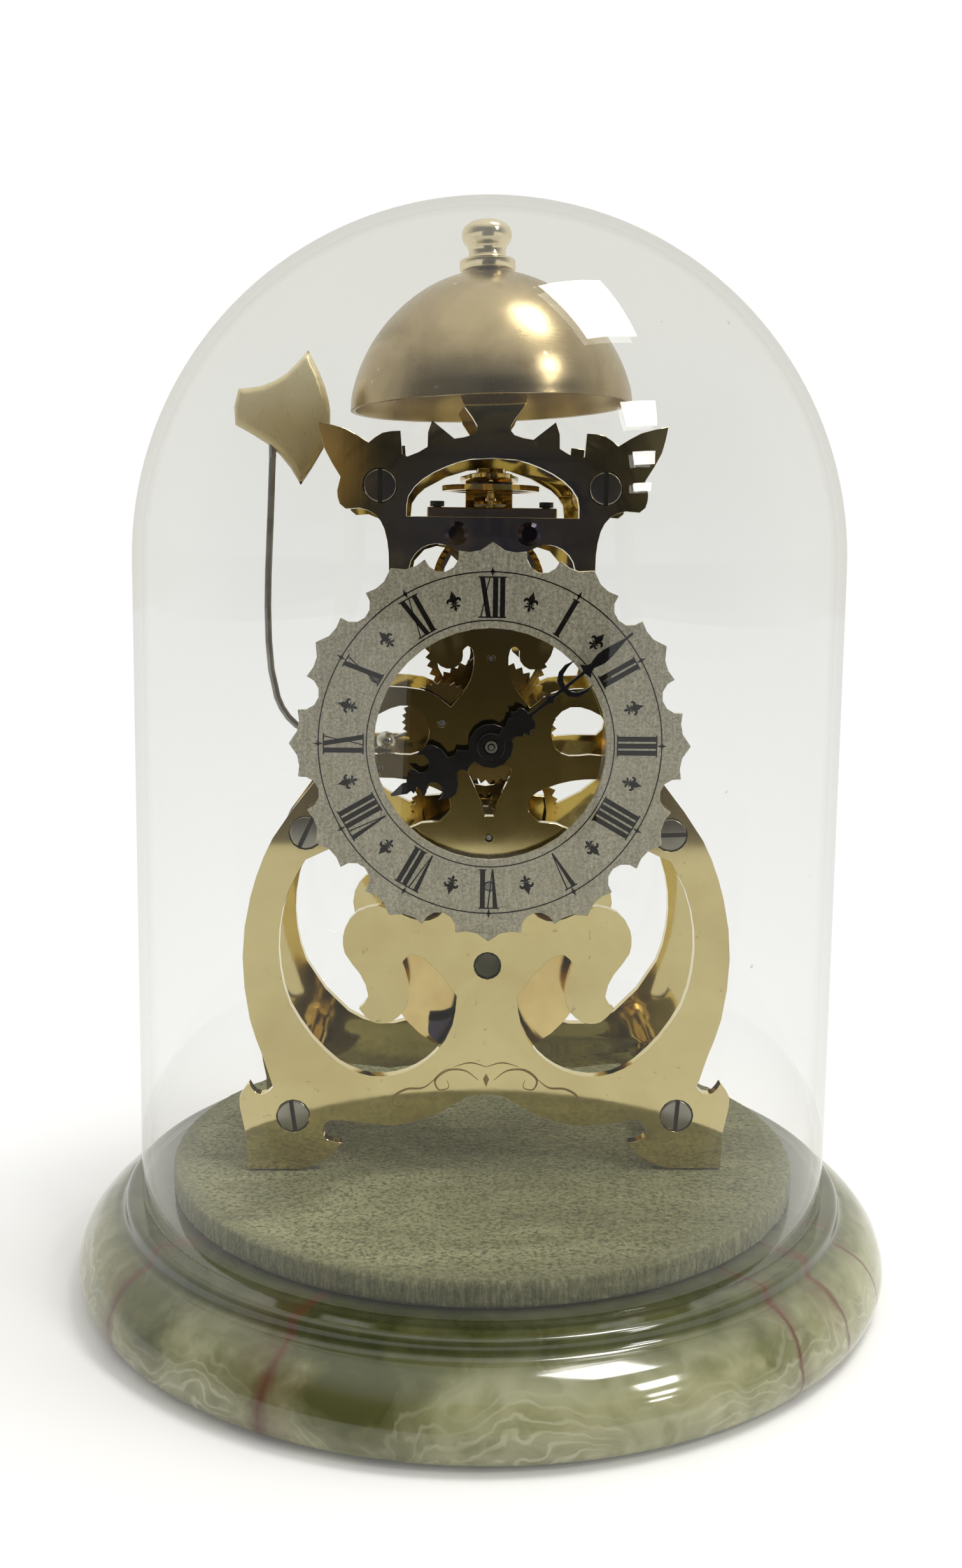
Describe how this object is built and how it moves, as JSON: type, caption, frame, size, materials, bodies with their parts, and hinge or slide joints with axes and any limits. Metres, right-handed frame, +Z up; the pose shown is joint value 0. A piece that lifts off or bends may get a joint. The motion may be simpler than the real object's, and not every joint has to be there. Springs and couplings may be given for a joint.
{
  "type": "skeleton clock under a glass dome",
  "caption": "Brass skeleton clock with scroll plates, chapter ring, platform escapement, bell and axe hammer, on a round stone base under a glass dome.",
  "frame": {"origin": "centre of the base's underside, on the dome's axis", "axes": "+Z up; the dial faces -Y; +X is to the right of someone facing the dial"},
  "size_m": [0.2388, 0.2388, 0.31],
  "materials": {
    "onyx": "polished",
    "velvet": "velvet",
    "glass": "polished",
    "brass": "polished",
    "bronze": "satin, darkened",
    "steel": "satin",
    "blued": "dark blued",
    "silvered": "matt silvered",
    "black": "gloss black"
  },
  "bodies": {
    "frame": {"onyx_base": "onyx", "velvet_pad": "velvet", "base_bolt_left": "steel", "base_bolt_right": "steel", "front_plate": "brass", "back_plate": "brass", "pillar_top_left": "brass", "screw_top_left": "steel", "pillar_top_right": "brass", "screw_top_right": "steel", "pillar_mid_left": "brass", "screw_mid_left": "steel", "pillar_mid_right": "brass", "screw_mid_right": "steel", "pillar_foot_left": "brass", "screw_foot_left": "steel", "pillar_foot_right": "brass", "screw_foot_right": "steel", "chapter_ring": "silvered", "dial_foot_left": "brass", "dial_foot_right": "brass", "dial_foot_low": "brass", "minute_stud": "steel", "platform_cradle": "brass", "cradle_screw_left": "blued", "cradle_screw_right": "blued", "platform_plate": "brass", "platform_screw_left": "black", "platform_screw_right": "black", "balance_cock": "brass", "bell": "bronze", "bell_post": "brass", "bell_nut": "brass"},
    "dome": {"glass_dome": "glass"},
    "minute": {"minute_hand": "black", "cannon_pinion": "steel"},
    "hour": {"hour_hand": "black", "hour_wheel": "brass"},
    "minute_work": {"minute_wheel": "brass"},
    "barrel": {"barrel": "brass", "barrel_cover": "brass", "mainspring": "blued"},
    "winding": {"barrel_arbor": "steel", "ratchet_wheel": "steel"},
    "click": {"click": "blued"},
    "second": {"second_arbor": "steel", "second_wheel": "brass"},
    "centre": {"centre_arbor": "steel", "centre_wheel": "brass"},
    "third": {"third_arbor": "steel", "third_wheel": "brass"},
    "contrate": {"contrate_arbor": "steel", "contrate_wheel": "brass"},
    "escape": {"escape_wheel": "brass"},
    "pallets": {"pallet_lever": "steel"},
    "balance": {"balance_wheel": "brass", "hairspring": "blued"},
    "hammer": {"hammer_arbor": "steel", "hammer_rod": "steel", "hammer_head": "bronze"}
  },
  "joints": [
    {"name": "dome_lift", "type": "slide", "parent": "frame", "child": "dome", "axis": [0, 0, 1], "range_m": [0, 0.3]},
    {"name": "minute_turn", "type": "hinge", "parent": "frame", "child": "minute", "pos_m": [0, -0.016, 0.1594], "axis": [0, 1, 0], "continuous": true},
    {"name": "minute_work_turn", "type": "hinge", "parent": "frame", "child": "minute_work", "pos_m": [-0.0135, -0.016, 0.16495], "axis": [0, 1, 0], "continuous": true},
    {"name": "hour_turn", "type": "hinge", "parent": "frame", "child": "hour", "pos_m": [0, -0.018, 0.1594], "axis": [0, 1, 0], "continuous": true},
    {"name": "contrate_turn", "type": "hinge", "parent": "frame", "child": "contrate", "pos_m": [0, 0.012, 0.2036], "axis": [0, 1, 0], "continuous": true},
    {"name": "third_turn", "type": "hinge", "parent": "frame", "child": "third", "pos_m": [0, 0.0152, 0.183], "axis": [0, 1, 0], "continuous": true},
    {"name": "centre_turn", "type": "hinge", "parent": "frame", "child": "centre", "pos_m": [0, 0.0185, 0.1594], "axis": [0, 1, 0], "continuous": true},
    {"name": "second_turn", "type": "hinge", "parent": "frame", "child": "second", "pos_m": [0, 0.0232, 0.1324], "axis": [0, 1, 0], "continuous": true},
    {"name": "barrel_turn", "type": "hinge", "parent": "frame", "child": "barrel", "pos_m": [0, 0.0015, 0.0954], "axis": [0, 1, 0], "continuous": true},
    {"name": "escape_turn", "type": "hinge", "parent": "frame", "child": "escape", "pos_m": [0, 0.0096, 0.226], "axis": [0, 0, 1], "continuous": true},
    {"name": "winding_turn", "type": "hinge", "parent": "frame", "child": "winding", "pos_m": [0, -0.0155, 0.0954], "axis": [0, 1, 0], "continuous": true},
    {"name": "click_swing", "type": "hinge", "parent": "frame", "child": "click", "pos_m": [-0.009, -0.0156, 0.0704], "axis": [0, 1, 0], "range_deg": [-12, 0], "stiffness_Nm_per_rad": 0.004, "springref_deg": 8.59},
    {"name": "pallet_swing", "type": "hinge", "parent": "frame", "child": "pallets", "pos_m": [0, 0.0043, 0.2263], "axis": [0, 0, 1], "range_deg": [-5, 5]},
    {"name": "balance_swing", "type": "hinge", "parent": "frame", "child": "balance", "pos_m": [0, -0.001, 0.2299], "axis": [0, 0, 1], "range_deg": [-220, 220], "stiffness_Nm_per_rad": 0.000065},
    {"name": "hammer_swing", "type": "hinge", "parent": "frame", "child": "hammer", "pos_m": [-0.0312, 0.0025, 0.1522], "axis": [0, 1, 0], "range_deg": [-6, 3], "stiffness_Nm_per_rad": 0.6, "springref_deg": 0.79}
  ],
  "couplings": [
    {"joint": "minute_work_turn", "follows": "minute_turn", "ratio": -0.33333},
    {"joint": "hour_turn", "follows": "minute_turn", "ratio": 0.083333},
    {"joint": "third_turn", "follows": "contrate_turn", "ratio": -0.13333},
    {"joint": "centre_turn", "follows": "contrate_turn", "ratio": 0.016667},
    {"joint": "second_turn", "follows": "contrate_turn", "ratio": -0.0033333},
    {"joint": "barrel_turn", "follows": "contrate_turn", "ratio": 0.00047619},
    {"joint": "escape_turn", "follows": "contrate_turn", "ratio": -8}
  ]
}
